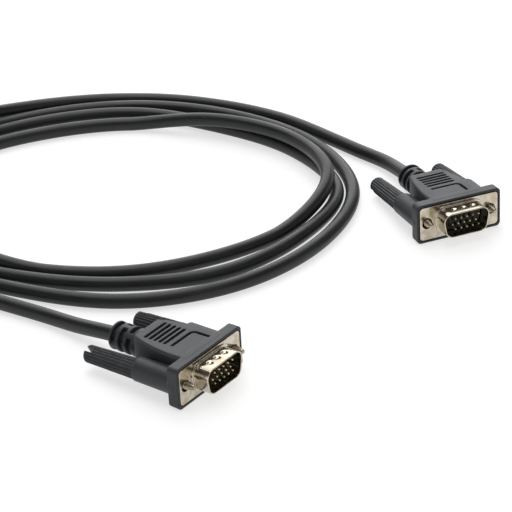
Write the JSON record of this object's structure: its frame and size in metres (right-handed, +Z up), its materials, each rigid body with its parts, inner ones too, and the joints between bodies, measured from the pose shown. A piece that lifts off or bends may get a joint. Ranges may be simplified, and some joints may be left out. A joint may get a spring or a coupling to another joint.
{
  "type": "vga cable",
  "caption": "Monitor cable lying in loose turns, with a D-shaped male plug, moulded hood, strain relief and thumbscrews on each end.",
  "frame": {"origin": "on the table, under the middle of the box round the two plugs", "axes": "+Z up; +Y away from the camera; +X to its right, with the loops of cable lying towards -X"},
  "size_m": [0.2262, 0.2222, 0.0148],
  "materials": {
    "jacket_pvc": "matte",
    "hood_pvc": "matte",
    "shell_nickel": "satin",
    "screw_nickel": "satin",
    "insulator_nylon": "satin",
    "contact_gold": "satin"
  },
  "bodies": {
    "cable_and_plugs": {"cable": "jacket_pvc", "near_hood": "hood_pvc", "near_shell": "shell_nickel", "near_insulator": "insulator_nylon", "near_pin_01": "contact_gold", "near_pin_02": "contact_gold", "near_pin_03": "contact_gold", "near_pin_04": "contact_gold", "near_pin_05": "contact_gold", "near_pin_06": "contact_gold", "near_pin_07": "contact_gold", "near_pin_08": "contact_gold", "near_pin_09": "contact_gold", "near_pin_10": "contact_gold", "near_pin_11": "contact_gold", "near_pin_12": "contact_gold", "near_pin_13": "contact_gold", "near_pin_14": "contact_gold", "near_pin_15": "contact_gold", "far_hood": "hood_pvc", "far_shell": "shell_nickel", "far_insulator": "insulator_nylon", "far_pin_01": "contact_gold", "far_pin_02": "contact_gold", "far_pin_03": "contact_gold", "far_pin_04": "contact_gold", "far_pin_05": "contact_gold", "far_pin_06": "contact_gold", "far_pin_07": "contact_gold", "far_pin_08": "contact_gold", "far_pin_09": "contact_gold", "far_pin_10": "contact_gold", "far_pin_11": "contact_gold", "far_pin_12": "contact_gold", "far_pin_13": "contact_gold", "far_pin_14": "contact_gold", "far_pin_15": "contact_gold"},
    "near_left_thumbscrew": {"near_left_knob": "hood_pvc", "near_left_screw": "screw_nickel"},
    "near_right_thumbscrew": {"near_right_knob": "hood_pvc", "near_right_screw": "screw_nickel"},
    "far_left_thumbscrew": {"far_left_knob": "hood_pvc", "far_left_screw": "screw_nickel"},
    "far_right_thumbscrew": {"far_right_knob": "hood_pvc", "far_right_screw": "screw_nickel"}
  },
  "joints": [
    {"name": "near_left_thumbscrew_turn", "type": "hinge", "parent": "cable_and_plugs", "child": "near_left_thumbscrew", "pos_m": [-0.02336, -0.05138, 0.00778], "axis": [0.7916, -0.6074, 0.0663], "continuous": true},
    {"name": "near_right_thumbscrew_turn", "type": "hinge", "parent": "cable_and_plugs", "child": "near_right_thumbscrew", "pos_m": [-0.03857, -0.0712, 0.00778], "axis": [0.7916, -0.6074, 0.0663], "continuous": true},
    {"name": "far_left_thumbscrew_turn", "type": "hinge", "parent": "cable_and_plugs", "child": "far_left_thumbscrew", "pos_m": [0.06777, 0.03715, 0.00777], "axis": [0.3843, -0.9186, 0.0924], "continuous": true},
    {"name": "far_right_thumbscrew_turn", "type": "hinge", "parent": "cable_and_plugs", "child": "far_right_thumbscrew", "pos_m": [0.04471, 0.0275, 0.00777], "axis": [0.3843, -0.9186, 0.0924], "continuous": true}
  ]
}
